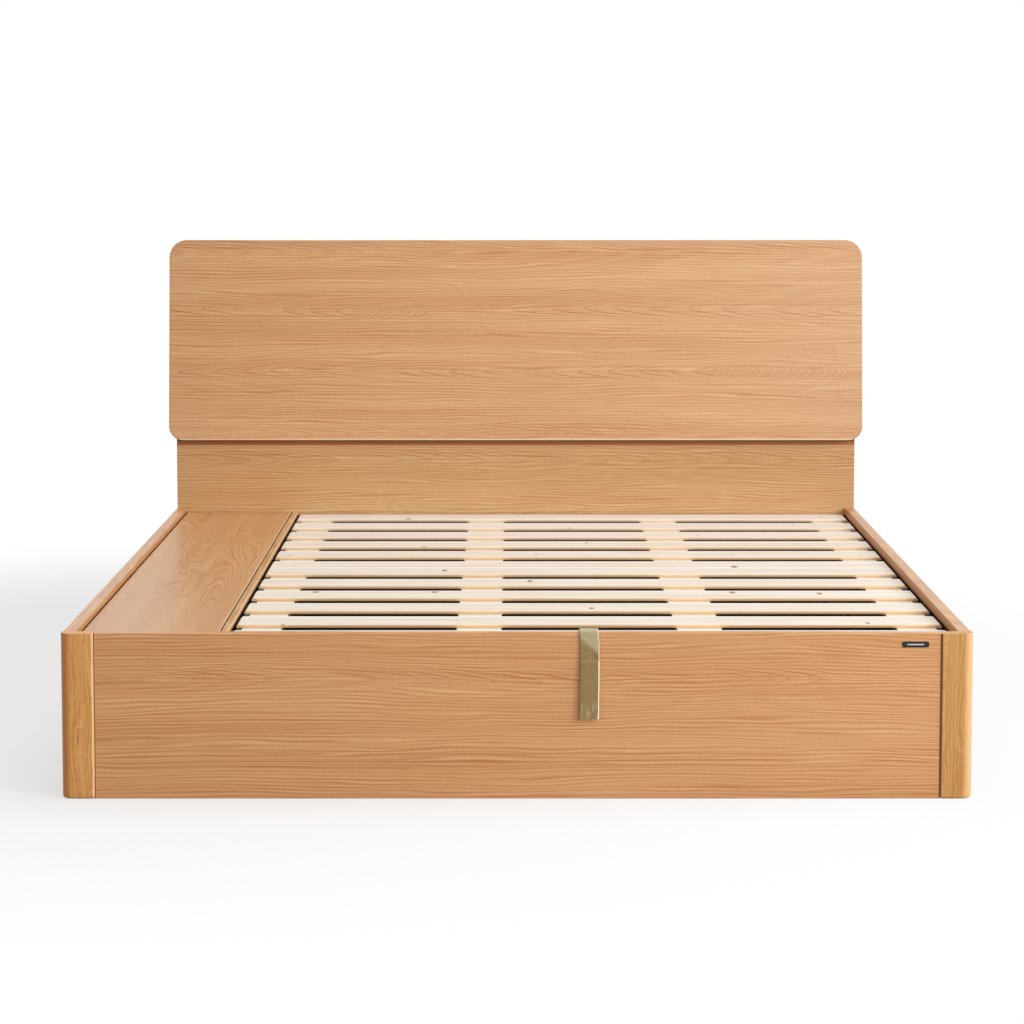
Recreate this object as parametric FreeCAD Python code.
"""Storage bed with a gas-lift slatted platform, a side compartment and a reclined headboard.

Millimetres. X runs across the bed, Y from the foot to the head, Z up from the floor.
The origin is on the floor, in the middle of the whole bed.
"""
import FreeCAD, Part
import math
import os

# Bed box
inner_width = 1810.0            # between the side rails, for a mattress 1800 wide
rail_height = 343.0             # top of the rails, front panel and posts
board_thickness = 25.0          # rails, front panel and lower headboard panel
board_edge_radius = 1.2         # eased long edges of those boards
deck_drop = 17.5                # slat tops below the rails' top, to hold the mattress
lid_drop = 11.5                 # side lid and divider tops below the rails' top

# Front corner posts
post_width = 68.0
post_front_proud = 5.0          # ahead of the front panel
post_side_proud = 3.5           # outside the side rails
post_round = 22.0               # outer front corner
post_inner_bevel = 4.0          # front corner beside the panel
post_foot_round = 6.0
post_top_round = 1.5

# Slatted platform
slats_per_panel = 6
slat_width = 106.0
slat_gap = 72.0
slat_thickness = 8.0
slat_edge_radius = 2.5
slat_end_bevel = 5.0
slat_end_gap = 5.0              # slat ends to the well's sides
platform_end_gap = 10.0         # platform to the front panel and to the headboard
battens_per_panel = 4
batten_width = 94.0
batten_thickness = 14.0
batten_side_inset = 2.5         # outer battens in from the slat ends

# Steel lift frame and its pivots
tube_size = 30.0
tube_wall = 2.0
tube_side_inset = 13.0          # side tubes in from the slat ends
pivot_from_head = 100.0         # lift pivot to the platform's head edge
pivot_shaft_radius = 6.0
pivot_shoulder_radius = 9.0
pivot_head_radius = 10.0
pivot_head_thickness = 3.0
running_clearance = 0.05        # radial, shafts in their holes
side_clearance = 0.3            # turning pieces beside one another
steel_plate = 4.0
hinge_plate_length = 56.0
hinge_plate_above = 26.0        # hinge plate above and below the pivot
hinge_plate_below = 42.0
hinge_screw_inset = 12.0

# Gas struts: both ends lie equally far from the lift pivot,
# so that a strut turns through exactly half the platform's angle
strut_base_ahead = 133.0        # lower end towards the foot from the lift pivot
strut_floor_gap = 3.0           # base plate above the well's floor
strut_eye_gap = 5.0             # upper eye below the side tube
strut_side_gap = 2.5            # cylinder to the screw heads beside it
strut_cylinder_radius = 9.0
strut_wall = 1.6
strut_rod_radius = 4.0
strut_gland = 12.0
strut_end_wall = 10.0
strut_eye_sink = 2.0            # cylinder into the lower eye
strut_bare_rod = 26.0           # cylinder to the upper eye's centre, closed
strut_piston = 10.0
strut_piston_spare = 9.0
strut_fit = 0.1                 # radial, rod in gland and piston in chamber
strut_eye_radius = 10.0
strut_eye_width = 12.0
stud_radius = 5.0
stud_head_gap = 1.0             # stud heads inside the lower eye's neck
stud_head = 3.0
strut_plate_length = 50.0
strut_plate_above = 24.0
strut_plate_below = 13.0
strut_ear_length = 30.0
strut_ear_below = 11.0

# Ledgers that carry the platform and the side lid
ledger_width = 30.0
ledger_height = 30.0
ledger_strut_gap = 52.0         # side ledgers end short of the struts' upper brackets
lid_ledger_width = 20.0

# Side compartment
lid_width = 285.0
lid_thickness = 18.0
lid_gap = 3.0                   # along both sides and at both ends
lid_edge_radius = 2.0           # lid's free edge and the divider's top
lid_hinge_edge_radius = 4.0     # clears the rail as the lid turns
divider_thickness = 15.0
lid_pin_radius = 4.0
lid_pin_in_board = 12.0
lid_pin_in_lid = 25.0

# Floors of the well and of the side compartment
bearer_rows = 5
bearer_width = 40.0
bearer_height = 28.0
bearer_end_inset = 60.0
floor_thickness = 12.0
floor_gap = 1.0

# Headboard
upper_panel_overhang = 16.0     # beyond the rails at each side
upper_panel_height = 547.0      # along its own slope
upper_panel_thickness = 22.0
upper_panel_bottom = 534.0      # lower front edge above the floor
upper_panel_reach = 45.0        # lower front edge ahead of the lower panel
upper_panel_recline = 6.3       # degrees
upper_panel_top_round = 47.0
upper_panel_bottom_round = 38.0
upper_panel_edge_radius = 3.0
lower_panel_overlap = 30.0      # lower panel behind the upper one
back_board_gap = 15.0           # upper panel's top rear edge to the back board
back_board_thickness = 18.0
back_board_drop = 27.5          # back board's top below the upper panel's top
back_board_round = 30.0
stile_width = 60.0
rib_thickness = 18.0
inner_ribs = 3
cap_thickness = 18.0
spacer_height = 24.0
spacer_end_inset = 30.0

# Corner brackets and screws
bracket_leg = 40.0
bracket_thickness = 3.0
bracket_height = 100.0
bracket_foot = 70.0             # above the floor
bracket_screw_from_corner = 24.0
bracket_screw_from_end = 25.0
screw_radius = 2.5
screw_length = 12.0
screw_head_radius = 4.5
screw_head = 2.5

# Pull strap
strap_width = 38.0
strap_thickness = 2.5
strap_offset = -4.0             # from the platform's centre line
strap_lift = 4.0                # above the front panel's top edge
strap_standoff = 3.0            # ahead of the front panel, at the fold
strap_hang = 182.0              # fold to the loose end
strap_flare = 2.5               # degrees that the loose end stands away
strap_tube_margin = 4.0         # sewn end above the foot tube's lower face

# Blank plate on the front panel
plate_width = 55.0
plate_height = 12.0
plate_thickness = 1.5
plate_round = 4.0
plate_from_post = 51.5          # plate's centre to the right post
plate_from_top = 23.0           # plate's centre to the panel's top edge

# Planes across the bed
rail_inner = inner_width / 2
rail_outer = rail_inner + board_thickness
post_outer = rail_outer + post_side_proud
post_inner = post_outer - post_width
lid_left = -rail_inner + lid_gap
lid_right = lid_left + lid_width
divider_left = lid_right + lid_gap
divider_right = divider_left + divider_thickness
well_centre = (divider_right + rail_inner) / 2
slat_left = divider_right + slat_end_gap
slat_right = rail_inner - slat_end_gap
tube_right = slat_right - tube_side_inset
tube_left = slat_left + tube_side_inset

# Planes along the bed
panel_length = slats_per_panel * slat_width + (slats_per_panel - 1) * slat_gap
platform_length = 2 * panel_length
flare = math.radians(strap_flare)
strap_fold_reach = strap_standoff + strap_thickness / 2
strap_reach = strap_fold_reach + strap_hang * math.sin(flare) + strap_thickness / 2 * math.cos(flare)
front_reach = max(post_front_proud, strap_reach)
lean = math.radians(upper_panel_recline)
upper_panel_depth = upper_panel_height * math.sin(lean) + upper_panel_thickness / math.cos(lean)
back_board_reach = upper_panel_depth - upper_panel_reach + back_board_gap
headboard_depth = back_board_reach + back_board_thickness
well_length = platform_length + 2 * platform_end_gap
overall_length = front_reach + board_thickness + well_length + headboard_depth
front_face = -overall_length / 2 + front_reach
front_inner = front_face + board_thickness
head_face = front_inner + well_length
lower_panel_back = head_face + board_thickness
back_board_front = head_face + back_board_reach
back_board_back = back_board_front + back_board_thickness
platform_foot = front_inner + platform_end_gap
platform_head = head_face - platform_end_gap
pivot_y = platform_head - pivot_from_head

# Levels
deck_top = rail_height - deck_drop
slat_bottom = deck_top - slat_thickness
tube_top = slat_bottom - batten_thickness
tube_bottom = tube_top - tube_size
pivot_z = (tube_top + tube_bottom) / 2
lid_top = rail_height - lid_drop
lid_bottom = lid_top - lid_thickness
lid_pin_x = lid_left + lid_thickness / 2
lid_pin_z = lid_bottom + lid_thickness / 2
floor_top = bearer_height + floor_thickness
lower_panel_top = upper_panel_bottom + lower_panel_overlap
upper_panel_top = upper_panel_bottom + upper_panel_height * math.cos(lean)
back_board_top = upper_panel_top - back_board_drop

# Strut ends on the right side, as drops below the lift pivot and as angles about it
strut_x = rail_inner - steel_plate - screw_head - strut_side_gap - strut_cylinder_radius
strut_base_drop = pivot_z - floor_top - strut_floor_gap - strut_plate_below
strut_top_drop = tube_size / 2 + strut_eye_gap + strut_eye_radius
strut_reach = math.hypot(strut_base_ahead, strut_base_drop)
strut_base_angle = -math.atan2(strut_base_drop, strut_base_ahead)
strut_top_angle = -math.asin(strut_top_drop / strut_reach)
strut_neck = strut_eye_radius - strut_eye_sink
stud_head_radius = strut_neck - stud_head_gap
strut_chamber_radius = strut_cylinder_radius - strut_wall

X = FreeCAD.Vector(1, 0, 0)
Y = FreeCAD.Vector(0, 1, 0)
Z = FreeCAD.Vector(0, 0, 1)
nearness = 0.01                 # for telling which edges lie on a plane


def box(x, y, z):
    """Box between the low and high values of each axis."""
    size = (x[1] - x[0], y[1] - y[0], z[1] - z[0])
    return Part.makeBox(*size, FreeCAD.Vector(x[0], y[0], z[0]))


def edges_at(shape, x=None, y=None, z=None):
    """Edges that lie wholly on the given planes."""
    found = []
    for edge in shape.Edges:
        extent = edge.BoundBox
        lows = (extent.XMin, extent.YMin, extent.ZMin)
        highs = (extent.XMax, extent.YMax, extent.ZMax)
        on_planes = True
        for plane, low, high in zip((x, y, z), lows, highs):
            if plane is not None:
                on_planes = on_planes and abs(low - plane) < nearness and abs(high - plane) < nearness
        if on_planes:
            found.append(edge)
    return found


def rod(radius, start, end):
    """Round bar between two points."""
    return Part.makeCylinder(radius, (end - start).Length, start, end - start)


def prism_across(points, x):
    """Solid with a (Y, Z) outline, between two values of X."""
    corners = [FreeCAD.Vector(x[0], y, z) for y, z in points]
    outline = Part.makePolygon(corners + corners[:1])
    return Part.Face(outline).extrude(X * (x[1] - x[0]))


def mirrored(shape):
    """The same piece on the well's other side."""
    return shape.mirror(FreeCAD.Vector(well_centre, 0, 0), X)


def mirrored_across_bed(shape):
    """The same piece on the bed's other side."""
    return shape.mirror(FreeCAD.Vector(0, 0, 0), X)


def screw(seat, inward):
    """Screw whose head sits on a face at the seat point and whose shank goes inward."""
    head = rod(screw_head_radius, seat - inward * screw_head, seat)
    shank = rod(screw_radius, seat, seat + inward * screw_length)
    return head.fuse(shank).removeSplitter()


def make_front_panel():
    """Board between the posts."""
    panel = box((-post_inner, post_inner), (front_face, front_inner), (0, rail_height))
    eased = edges_at(panel, y=front_face, z=rail_height) + edges_at(panel, y=front_face, z=0)
    return panel.makeFillet(board_edge_radius, eased)


def without(edges, seats):
    """The edges that are not among the seats."""
    return [edge for edge in edges if not any(edge.isSame(seat) for seat in seats)]


def free_rim(post, level):
    """A post's edges at a level, less those against the panel and the rail."""
    seats = edges_at(post, x=post_inner) + edges_at(post, y=front_inner)
    return without(edges_at(post, z=level), seats)


def make_right_post():
    """Solid post with a round outer corner, a bevel beside the panel and a rounded foot."""
    post_front = front_face - post_front_proud
    post = box((post_inner, post_outer), (post_front, front_inner), (0, rail_height))
    post = post.makeFillet(post_round, edges_at(post, x=post_outer, y=post_front))
    post = post.makeChamfer(post_inner_bevel, edges_at(post, x=post_inner, y=post_front))
    post = post.makeFillet(post_foot_round, free_rim(post, 0))
    return post.makeFillet(post_top_round, free_rim(post, rail_height))


def make_right_rail():
    """Side board from the post to the headboard."""
    rail = box((rail_inner, rail_outer), (front_inner, head_face), (0, rail_height))
    eased = edges_at(rail, x=rail_inner, z=rail_height) + edges_at(rail, x=rail_outer, z=rail_height)
    return rail.makeFillet(board_edge_radius, eased)


def make_lower_panel():
    """Upright board that the rails butt against."""
    panel = box((-rail_outer, rail_outer), (head_face, lower_panel_back), (0, lower_panel_top))
    eased = edges_at(panel, x=-rail_outer, y=head_face) + edges_at(panel, x=rail_outer, y=head_face)
    return panel.makeFillet(board_edge_radius, eased)


def make_upper_panel():
    """Wider reclined board with rounded corners."""
    half = rail_outer + upper_panel_overhang
    panel = box((-half, half), (0, upper_panel_thickness), (0, upper_panel_height))
    top = edges_at(panel, x=-half, z=upper_panel_height) + edges_at(panel, x=half, z=upper_panel_height)
    panel = panel.makeFillet(upper_panel_top_round, top)
    bottom = edges_at(panel, x=-half, z=0) + edges_at(panel, x=half, z=0)
    panel = panel.makeFillet(upper_panel_bottom_round, bottom)
    rims = edges_at(panel, y=0) + edges_at(panel, y=upper_panel_thickness)
    panel = panel.makeFillet(upper_panel_edge_radius, rims)
    panel.rotate(FreeCAD.Vector(0, 0, 0), X, -upper_panel_recline)
    panel.translate(FreeCAD.Vector(0, head_face - upper_panel_reach, upper_panel_bottom))
    return panel


def upper_panel_back(z):
    """Y of the upper panel's back face at a height."""
    front = head_face - upper_panel_reach + (z - upper_panel_bottom) * math.tan(lean)
    return front + upper_panel_thickness / math.cos(lean)


def wedge(x, z, back):
    """Filler from the upper panel's back face to an upright plane."""
    outline = [(upper_panel_back(z[0]), z[0]), (back, z[0]), (back, z[1]), (upper_panel_back(z[1]), z[1])]
    return prism_across(outline, x)


def make_ribs():
    """Wedge ribs behind the upper panel: two end cheeks and the inner ribs between them."""
    heights = (lower_panel_top, back_board_top - cap_thickness)
    right_cheek = wedge((rail_outer - rib_thickness, rail_outer), heights, back_board_front)
    cheeks = [mirrored_across_bed(right_cheek), right_cheek]
    spacing = 2 * rail_outer / (inner_ribs + 1)
    inner = []
    for index in range(inner_ribs):
        left = -rail_outer + spacing * (index + 1) - rib_thickness / 2
        inner.append(wedge((left, left + rib_thickness), heights, back_board_front))
    return cheeks, inner


def make_back_board():
    """Board that closes the headboard behind."""
    board = box((-rail_outer, rail_outer), (back_board_front, back_board_back), (0, back_board_top))
    corners = edges_at(board, x=-rail_outer, z=back_board_top)
    corners += edges_at(board, x=rail_outer, z=back_board_top)
    return board.makeFillet(back_board_round, corners)


def make_stiles():
    """Upright strips between the lower panel and the back board."""
    depth = (lower_panel_back, back_board_front)
    lefts = (-rail_outer, -stile_width / 2, rail_outer - stile_width)
    return [box((left, left + stile_width), depth, (0, lower_panel_top)) for left in lefts]


def make_bearers():
    """Rows of floor bearers on both sides of the divider."""
    first = front_inner + bearer_end_inset
    last = head_face - bearer_end_inset - bearer_width
    bearers = []
    for row in range(bearer_rows):
        start = first + (last - first) * row / (bearer_rows - 1)
        for sides in ((-rail_inner, divider_left), (divider_right, rail_inner)):
            bearers.append(box(sides, (start, start + bearer_width), (0, bearer_height)))
    return bearers


def make_floor(x, y):
    """Floor board on the bearers, with a small gap all round."""
    inside_x = (x[0] + floor_gap, x[1] - floor_gap)
    inside_y = (y[0] + floor_gap, y[1] - floor_gap)
    return box(inside_x, inside_y, (bearer_height, floor_top))


def make_right_bracket(corner_y, inward):
    """Angle bracket in a right-hand corner, with its screws; inward is the sign of Y into the bed."""
    heights = (bracket_foot, bracket_foot + bracket_height)
    along_rail = sorted((corner_y, corner_y + inward * bracket_leg))
    along_end = sorted((corner_y, corner_y + inward * bracket_thickness))
    bracket = box((rail_inner - bracket_thickness, rail_inner), along_rail, heights)
    bracket = bracket.fuse(box((rail_inner - bracket_leg, rail_inner), along_end, heights)).removeSplitter()
    rail_screw_y = corner_y + inward * bracket_screw_from_corner
    end_screw_y = corner_y + inward * bracket_thickness
    screws = []
    for z in (heights[0] + bracket_screw_from_end, heights[1] - bracket_screw_from_end):
        screws.append(screw(FreeCAD.Vector(rail_inner - bracket_thickness, rail_screw_y, z), X))
        seat = FreeCAD.Vector(rail_inner - bracket_screw_from_corner, end_screw_y, z)
        screws.append(screw(seat, Y * -inward))
    return bracket.cut(screws), screws


def make_right_hinge_plate():
    """Pivot plate on the rail, with its screws."""
    ends = (pivot_y - hinge_plate_length / 2, pivot_y + hinge_plate_length / 2)
    heights = (pivot_z - hinge_plate_below, pivot_z + hinge_plate_above)
    plate = box((rail_inner - steel_plate, rail_inner), ends, heights)
    screws = []
    for y in (ends[0] + hinge_screw_inset, ends[1] - hinge_screw_inset):
        for z in (heights[0] + hinge_screw_inset, heights[1] - hinge_screw_inset):
            screws.append(screw(FreeCAD.Vector(rail_inner - steel_plate, y, z), X))
    return plate.cut(screws), screws


def make_right_pivot_pin():
    """Shouldered pin from the hinge plate through the side tube."""
    plate_face = rail_inner - steel_plate
    shoulder_end = tube_right + side_clearance
    shaft_end = tube_right - tube_size - side_clearance
    centre = FreeCAD.Vector(0, pivot_y, pivot_z)
    pin = rod(pivot_shoulder_radius, centre + X * shoulder_end, centre + X * plate_face)
    pin = pin.fuse(rod(pivot_shaft_radius, centre + X * shaft_end, centre + X * shoulder_end))
    head_end = shaft_end - pivot_head_thickness
    pin = pin.fuse(rod(pivot_head_radius, centre + X * head_end, centre + X * shaft_end))
    return pin.removeSplitter()


def tube_along(x, y):
    """Square steel tube lying level at the frame's height; its longer side is its length."""
    outside = box(x, y, (tube_bottom, tube_top))
    bore_z = (tube_bottom + tube_wall, tube_top - tube_wall)
    if x[1] - x[0] > y[1] - y[0]:
        return outside.cut(box(x, (y[0] + tube_wall, y[1] - tube_wall), bore_z))
    return outside.cut(box((x[0] + tube_wall, x[1] - tube_wall), y, bore_z))


def make_right_side_tube():
    """Side tube with the pivot pin's holes."""
    tube = tube_along((tube_right - tube_size, tube_right), (platform_foot, platform_head))
    start = FreeCAD.Vector(tube_right - tube_size, pivot_y, pivot_z)
    return tube.cut(rod(pivot_shaft_radius + running_clearance, start, start + X * tube_size))


def make_slat(foot_edge):
    """Slat with bevelled ends and eased corners and long edges."""
    slat = box((slat_left, slat_right), (foot_edge, foot_edge + slat_width), (slat_bottom, deck_top))
    ends = edges_at(slat, x=slat_left, z=deck_top) + edges_at(slat, x=slat_right, z=deck_top)
    slat = slat.makeChamfer(slat_end_bevel, ends)
    rims = edges_at(slat, y=foot_edge) + edges_at(slat, y=foot_edge + slat_width)
    return slat.makeFillet(slat_edge_radius, without(rims, edges_at(slat, z=slat_bottom)))


def make_battens(foot_edge):
    """Battens under one slat panel, spread evenly between the slat ends."""
    first = slat_left + batten_side_inset
    spacing = (slat_right - batten_side_inset - batten_width - first) / (battens_per_panel - 1)
    battens = []
    for index in range(battens_per_panel):
        left = first + spacing * index
        along = (foot_edge, foot_edge + panel_length)
        battens.append(box((left, left + batten_width), along, (tube_top, slat_bottom)))
    return battens


def strut_end(angle):
    """Strut end on the right side, at an angle about the lift pivot above the foot direction."""
    reach_y = strut_reach * math.cos(angle)
    reach_z = strut_reach * math.sin(angle)
    return FreeCAD.Vector(strut_x, pivot_y - reach_y, pivot_z + reach_z)


def strut_eye(centre):
    """Solid boss of a strut's end, across the bed."""
    half = X * (strut_eye_width / 2)
    return rod(strut_eye_radius, centre - half, centre + half)


def strut_eye_bore(centre):
    """Hole through a strut's end for its stud."""
    half = X * (strut_eye_width / 2)
    return rod(stud_radius + running_clearance, centre - half, centre + half)


def make_right_strut():
    """Gas strut at rest: the cylinder on its base stud, and the rod with its piston inside."""
    base = strut_end(strut_base_angle)
    top = strut_end(strut_top_angle)
    along = (top - base).normalize()
    closed = top.distanceToPoint(base)
    body_end = closed - strut_bare_rod
    chamber_start = strut_neck + strut_end_wall
    piston_start = chamber_start + strut_piston_spare
    cylinder = rod(strut_cylinder_radius, base + along * strut_neck, base + along * body_end)
    cylinder = cylinder.fuse(strut_eye(base)).removeSplitter()
    chamber_end = base + along * (body_end - strut_gland)
    cylinder = cylinder.cut(rod(strut_chamber_radius, base + along * chamber_start, chamber_end))
    cylinder = cylinder.cut(rod(strut_rod_radius + strut_fit, chamber_end, base + along * body_end))
    cylinder = cylinder.cut(strut_eye_bore(base))
    shaft = rod(strut_rod_radius, base + along * piston_start, top)
    piston_end = base + along * (piston_start + strut_piston)
    shaft = shaft.fuse(rod(strut_chamber_radius - strut_fit, base + along * piston_start, piston_end))
    shaft = shaft.fuse(strut_eye(top)).removeSplitter().cut(strut_eye_bore(top))
    return cylinder, shaft


def stud(centre, foot_x, tip_sign):
    """Headed stud across the bed, from its plate through a strut's eye."""
    eye_end = strut_x + tip_sign * (strut_eye_width / 2 + side_clearance)
    start = FreeCAD.Vector(foot_x, centre.y, centre.z)
    end = FreeCAD.Vector(eye_end, centre.y, centre.z)
    head = rod(stud_head_radius, end, end + X * (tip_sign * stud_head))
    return rod(stud_radius, start, end).fuse(head)


def make_right_base_bracket():
    """Strut's base plate with its stud, on the rail, and its screws."""
    centre = strut_end(strut_base_angle)
    ends = (centre.y - strut_plate_length / 2, centre.y + strut_plate_length / 2)
    heights = (centre.z - strut_plate_below, centre.z + strut_plate_above)
    plate_face = rail_inner - steel_plate
    plate = box((plate_face, rail_inner), ends, heights)
    screws = []
    for y in (ends[0] + hinge_screw_inset, ends[1] - hinge_screw_inset):
        screws.append(screw(FreeCAD.Vector(plate_face, y, heights[1] - hinge_screw_inset), X))
    plate = plate.fuse(stud(centre, plate_face, -1)).removeSplitter()
    return plate.cut(screws), screws


def make_right_platform_ear():
    """Ear under the side tube with the stud of the strut's upper end."""
    centre = strut_end(strut_top_angle)
    ear_face = strut_x - strut_eye_width / 2 - side_clearance
    ends = (centre.y - strut_ear_length / 2, centre.y + strut_ear_length / 2)
    ear = box((ear_face - steel_plate, ear_face), ends, (centre.z - strut_ear_below, tube_bottom))
    return ear.fuse(stud(centre, ear_face, 1)).removeSplitter()


def make_lid():
    """Side compartment's lid, round below its hinged edge and bored for its pins."""
    along = (front_inner + lid_gap, head_face - lid_gap)
    lid = box((lid_left, lid_right), along, (lid_bottom, lid_top))
    lid = lid.makeFillet(lid_edge_radius, edges_at(lid, x=lid_right, z=lid_top))
    lid = lid.makeFillet(lid_hinge_edge_radius, edges_at(lid, x=lid_left, z=lid_top))
    lid = lid.makeFillet(lid_thickness / 2, edges_at(lid, x=lid_left, z=lid_bottom))
    foot_end = FreeCAD.Vector(lid_pin_x, along[0], lid_pin_z)
    head_end = FreeCAD.Vector(lid_pin_x, along[1], lid_pin_z)
    bore = lid_pin_radius + running_clearance
    lid = lid.cut(rod(bore, foot_end, foot_end + Y * lid_pin_in_lid))
    return lid.cut(rod(bore, head_end - Y * lid_pin_in_lid, head_end))


def make_lid_pins():
    """Pins at the lid's two ends, seated in the left post and in the headboard."""
    length = Y * (lid_pin_in_board + lid_gap + lid_pin_in_lid - side_clearance)
    foot = FreeCAD.Vector(lid_pin_x, front_inner - lid_pin_in_board, lid_pin_z)
    head = FreeCAD.Vector(lid_pin_x, head_face + lid_pin_in_board, lid_pin_z)
    return [rod(lid_pin_radius, foot, foot + length), rod(lid_pin_radius, head - length, head)]


def make_strap():
    """Webbing pull: the part sewn to the platform, and the hanging part beyond the fold."""
    middle = well_centre + strap_offset
    across = (middle - strap_width / 2, middle + strap_width / 2)
    run_z = (rail_height + strap_lift, rail_height + strap_lift + strap_thickness)
    fold_y = front_face - strap_fold_reach
    fold_z = (run_z[0] + run_z[1]) / 2
    behind = (platform_foot - strap_thickness, platform_foot)
    upright = box(across, behind, (tube_bottom + strap_tube_margin, run_z[1]))
    over_end = fold_y + strap_thickness / 2 + side_clearance
    over = box(across, (over_end, platform_foot), run_z)
    over = over.makeChamfer(strap_thickness / 2, edges_at(over, y=over_end, z=run_z[0]))
    anchor = upright.fuse(over).removeSplitter()
    tab = box(across, (-strap_thickness / 2, strap_thickness / 2), (-strap_hang, 0))
    tab = tab.fuse(rod(strap_thickness / 2, X * across[0], X * across[1])).removeSplitter()
    tab.rotate(FreeCAD.Vector(0, 0, 0), X, -strap_flare)
    tab.translate(FreeCAD.Vector(0, fold_y, fold_z))
    return anchor, tab


def make_plate():
    """Small bare plate on the front panel."""
    middle_x = post_inner - plate_from_post
    middle_z = rail_height - plate_from_top
    x = (middle_x - plate_width / 2, middle_x + plate_width / 2)
    z = (middle_z - plate_height / 2, middle_z + plate_height / 2)
    plate = box(x, (front_face - plate_thickness, front_face), z)
    corners = []
    for side in x:
        for level in z:
            corners += edges_at(plate, x=side, z=level)
    return plate.makeFillet(plate_round, corners)


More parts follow.
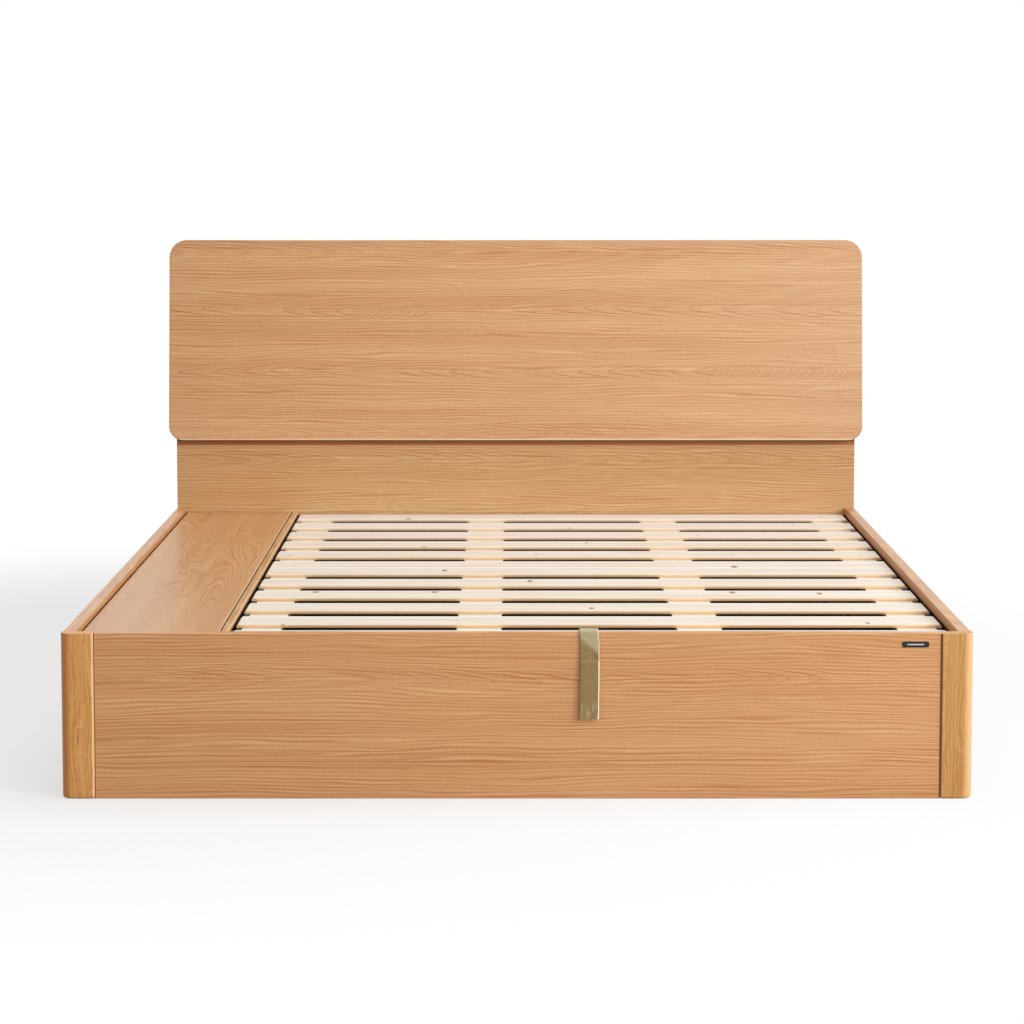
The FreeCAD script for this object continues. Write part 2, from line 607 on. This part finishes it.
def make_nodes():
    """Every piece of the bed by its node's name; a list is a group of separate solids."""
    nodes = {}
    screws = []
    brackets = []
    for corner_y, inward in ((front_inner, 1), (head_face, -1)):
        bracket, bracket_screws = make_right_bracket(corner_y, inward)
        brackets += [mirrored_across_bed(bracket), bracket]
        for piece in bracket_screws:
            screws += [mirrored_across_bed(piece), piece]
    hinge_plate, hinge_screws = make_right_hinge_plate()
    base_bracket, base_screws = make_right_base_bracket()
    for piece in hinge_screws + base_screws:
        screws += [mirrored(piece), piece]
    lid_pins = make_lid_pins()

    right_post = make_right_post()
    right_rail = make_right_rail()
    divider_y = (front_inner, head_face)
    divider = box((divider_left, divider_right), divider_y, (0, lid_top))
    divider_rims = edges_at(divider, x=divider_left, z=lid_top)
    divider_rims += edges_at(divider, x=divider_right, z=lid_top)
    divider = divider.makeFillet(lid_edge_radius, divider_rims)
    nodes["front_panel"] = make_front_panel()
    nodes["front_post_left"] = mirrored_across_bed(right_post).cut(screws + lid_pins)
    nodes["front_post_right"] = right_post.cut(screws)
    nodes["side_rail_left"] = mirrored_across_bed(right_rail).cut(screws)
    nodes["side_rail_right"] = right_rail.cut(screws)
    nodes["divider_panel"] = divider.cut(screws)
    nodes["front_plate"] = make_plate()

    cheeks, inner = make_ribs()
    cap_heights = (back_board_top - cap_thickness, back_board_top)
    spacer_heights = (lower_panel_top - spacer_height, lower_panel_top)
    spacer_half = rail_outer - spacer_end_inset
    nodes["headboard_lower_panel"] = make_lower_panel().cut(screws + lid_pins)
    nodes["headboard_upper_panel"] = make_upper_panel()
    nodes["headboard_back_board"] = make_back_board()
    nodes["headboard_top_cap"] = wedge((-rail_outer, rail_outer), cap_heights, back_board_front)
    nodes["headboard_spacer_strip"] = wedge((-spacer_half, spacer_half), spacer_heights, head_face)
    nodes["headboard_end_cheeks"] = cheeks
    nodes["headboard_inner_ribs"] = inner
    nodes["headboard_stiles"] = make_stiles()

    ledger_z = (tube_bottom - ledger_height, tube_bottom)
    ear_foot = strut_end(strut_top_angle).y - strut_ear_length / 2
    ledger_y = (front_inner + ledger_width, ear_foot - ledger_strut_gap)
    lid_ledger_y = (front_inner, head_face)
    rail_lid_top = lid_bottom - side_clearance
    rail_ledger = box((rail_inner - ledger_width, rail_inner), ledger_y, ledger_z)
    nodes["front_ledger"] = box((divider_right, rail_inner), (front_inner, ledger_y[0]), ledger_z)
    nodes["rail_ledger"] = rail_ledger
    nodes["divider_ledger"] = mirrored(rail_ledger)
    rail_lid_x = (-rail_inner, -rail_inner + lid_ledger_width)
    nodes["lid_ledger_rail"] = box(rail_lid_x, lid_ledger_y, (rail_lid_top - ledger_height, rail_lid_top))
    divider_lid_x = (divider_left - lid_ledger_width, divider_left)
    nodes["lid_ledger_divider"] = box(divider_lid_x, lid_ledger_y, (lid_bottom - ledger_height, lid_bottom))

    floor_middle = (front_inner + head_face) / 2
    nodes["floor_bearers"] = make_bearers()
    nodes["well_floor_foot"] = make_floor((divider_right, rail_inner), (front_inner, floor_middle))
    nodes["well_floor_head"] = make_floor((divider_right, rail_inner), (floor_middle, head_face))
    nodes["side_floor_board"] = make_floor((-rail_inner, divider_left), (front_inner, head_face))

    pivot_pin = make_right_pivot_pin()
    nodes["corner_brackets"] = brackets
    nodes["hardware_screws"] = screws
    nodes["hinge_plate_left"] = mirrored(hinge_plate)
    nodes["hinge_plate_right"] = hinge_plate
    nodes["lift_pivot_pins"] = [mirrored(pivot_pin), pivot_pin]
    nodes["strut_base_bracket_left"] = mirrored(base_bracket)
    nodes["strut_base_bracket_right"] = base_bracket
    nodes["lid_pivot_pins"] = lid_pins
    nodes["side_lid"] = make_lid()

    right_tube = make_right_side_tube()
    cross_x = (tube_left + tube_size, tube_right - tube_size)
    middle_y = (platform_foot + platform_head - tube_size) / 2
    nodes["frame_tube_left"] = mirrored(right_tube)
    nodes["frame_tube_right"] = right_tube
    nodes["frame_tube_foot"] = tube_along(cross_x, (platform_foot, platform_foot + tube_size))
    nodes["frame_tube_middle"] = tube_along(cross_x, (middle_y, middle_y + tube_size))
    nodes["frame_tube_head"] = tube_along(cross_x, (platform_head - tube_size, platform_head))
    nodes["foot_panel_battens"] = make_battens(platform_foot)
    nodes["head_panel_battens"] = make_battens(platform_foot + panel_length)
    for index in range(2 * slats_per_panel):
        panel, place = divmod(index, slats_per_panel)
        foot_edge = platform_foot + panel * panel_length + place * (slat_width + slat_gap)
        nodes[f"slat_{index + 1:02d}"] = make_slat(foot_edge)

    ear = make_right_platform_ear()
    cylinder, shaft = make_right_strut()
    nodes["strut_platform_bracket_left"] = mirrored(ear)
    nodes["strut_platform_bracket_right"] = ear
    nodes["strut_cylinder_left"] = mirrored(cylinder)
    nodes["strut_cylinder_right"] = cylinder
    nodes["strut_rod_left"] = mirrored(shaft)
    nodes["strut_rod_right"] = shaft

    nodes["strap_anchor"], nodes["pull_strap"] = make_strap()
    return nodes


os.makedirs("parts", exist_ok=True)
for name, shape in make_nodes().items():
    if isinstance(shape, list):
        shape = Part.makeCompound(shape)
    shape.exportStep(f"parts/{name}.step")
